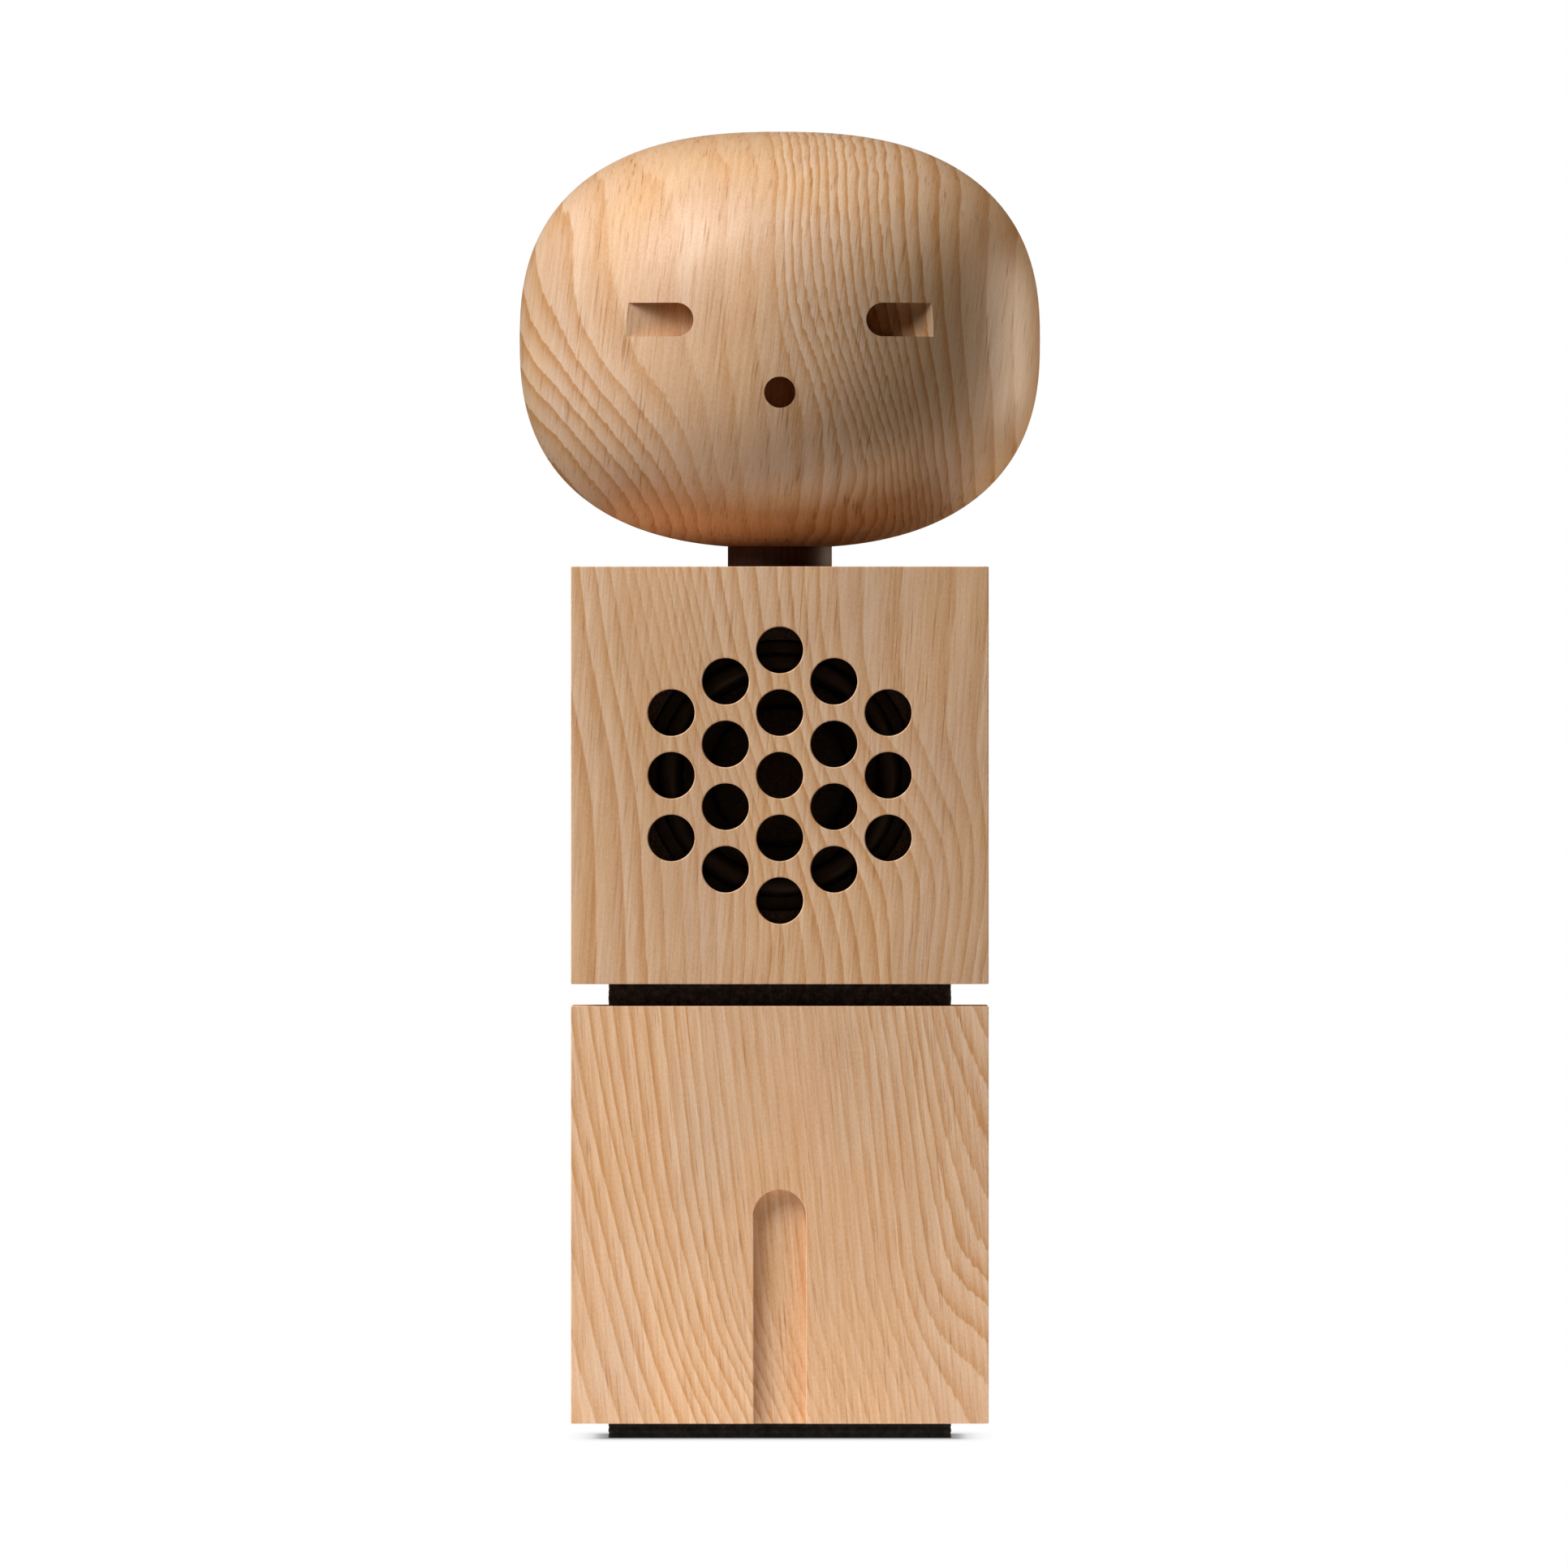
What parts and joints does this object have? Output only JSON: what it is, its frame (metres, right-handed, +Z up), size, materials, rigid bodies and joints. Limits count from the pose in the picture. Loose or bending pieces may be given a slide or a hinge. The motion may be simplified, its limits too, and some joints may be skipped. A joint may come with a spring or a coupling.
{
  "type": "kokeshi doll",
  "caption": "Wooden kokeshi doll with a turned head that swivels on a dark collar, a chest block with a drilled loudspeaker grille, and a slotted leg block.",
  "frame": {"origin": "centre of the foot pad's underside, on the surface the doll stands on", "axes": "+Z up, the doll faces -Y, +X is to the viewer's right when the face is seen"},
  "size_m": [0.075, 0.075, 0.188],
  "materials": {
    "oiled_ash": "satin oil",
    "smoked_oak": "satin oil",
    "black_felt": "matt",
    "grey_foam": "matt",
    "birch_plywood": "sanded",
    "zinc_plated_steel": "bright zinc",
    "black_painted_steel": "satin",
    "ferrite_magnet": "matt ground",
    "brass": "turned",
    "black_paper_cone": "pressed paper",
    "black_rubber": "matt",
    "copper_coil": "enamelled wire",
    "spider_cloth": "resin-dipped cloth",
    "green_circuit_board": "solder mask",
    "black_chip": "moulded",
    "black_abs": "fine spark texture",
    "white_nylon": "moulded",
    "clear_acrylic": "polished",
    "silver_pouch": "laminated foil"
  },
  "bodies": {
    "doll": {"amplifier_chip": "black_chip", "base_plate": "birch_plywood", "base_screw_1": "zinc_plated_steel", "base_screw_2": "zinc_plated_steel", "base_screw_3": "zinc_plated_steel", "base_screw_4": "zinc_plated_steel", "battery_cable": "black_rubber", "battery_cell": "silver_pouch", "battery_connector": "white_nylon", "battery_foam": "grey_foam", "battery_tray": "black_abs", "board_screw_1": "zinc_plated_steel", "board_screw_2": "zinc_plated_steel", "board_standoff_1": "brass", "board_standoff_2": "brass", "charging_socket": "zinc_plated_steel", "chest_block": "oiled_ash", "driver_basket": "black_painted_steel", "driver_gasket": "grey_foam", "driver_screw_1": "zinc_plated_steel", "driver_screw_2": "zinc_plated_steel", "driver_screw_3": "zinc_plated_steel", "driver_screw_4": "zinc_plated_steel", "foot_pad": "black_felt", "leg_block": "oiled_ash", "magnet": "ferrite_magnet", "main_board": "green_circuit_board", "neck_collar": "smoked_oak", "neck_felt_washer": "black_felt", "panel_gasket": "grey_foam", "panel_screw_1": "zinc_plated_steel", "panel_screw_2": "zinc_plated_steel", "panel_screw_3": "zinc_plated_steel", "panel_screw_4": "zinc_plated_steel", "pole_yoke": "zinc_plated_steel", "radio_module": "zinc_plated_steel", "rear_panel": "oiled_ash", "speaker_cable": "black_rubber", "speaker_connector": "white_nylon", "spider": "spider_cloth", "spring_washer": "zinc_plated_steel", "status_light": "clear_acrylic", "surround": "black_rubber", "tact_switch": "black_chip", "terminal_strip": "green_circuit_board", "thrust_washer": "white_nylon", "top_plate": "zinc_plated_steel", "waist_nut_lower": "zinc_plated_steel", "waist_nut_upper": "zinc_plated_steel", "waist_pad": "black_felt", "waist_tube": "zinc_plated_steel", "waist_washer_lower": "zinc_plated_steel", "waist_washer_upper": "zinc_plated_steel"},
    "head": {"head": "oiled_ash", "head_insert": "brass", "pivot_bolt": "zinc_plated_steel"},
    "diaphragm": {"cone": "black_paper_cone", "dust_cap": "black_paper_cone", "voice_coil": "copper_coil"},
    "button": {"power_button": "black_abs"}
  },
  "joints": [
    {"name": "head_turn", "type": "hinge", "parent": "doll", "child": "head", "pos_m": [0, 0, 0.128], "axis": [0, 0, 1], "continuous": true},
    {"name": "cone_travel", "type": "slide", "parent": "doll", "child": "diaphragm", "axis": [0, -1, 0], "range_m": [-0.001, 0.001], "stiffness_N_per_m": 1000, "deforming": ["surround", "spider"]},
    {"name": "button_press", "type": "slide", "parent": "doll", "child": "button", "axis": [0, -1, 0], "range_m": [0, 0.0006], "stiffness_N_per_m": 2000}
  ]
}
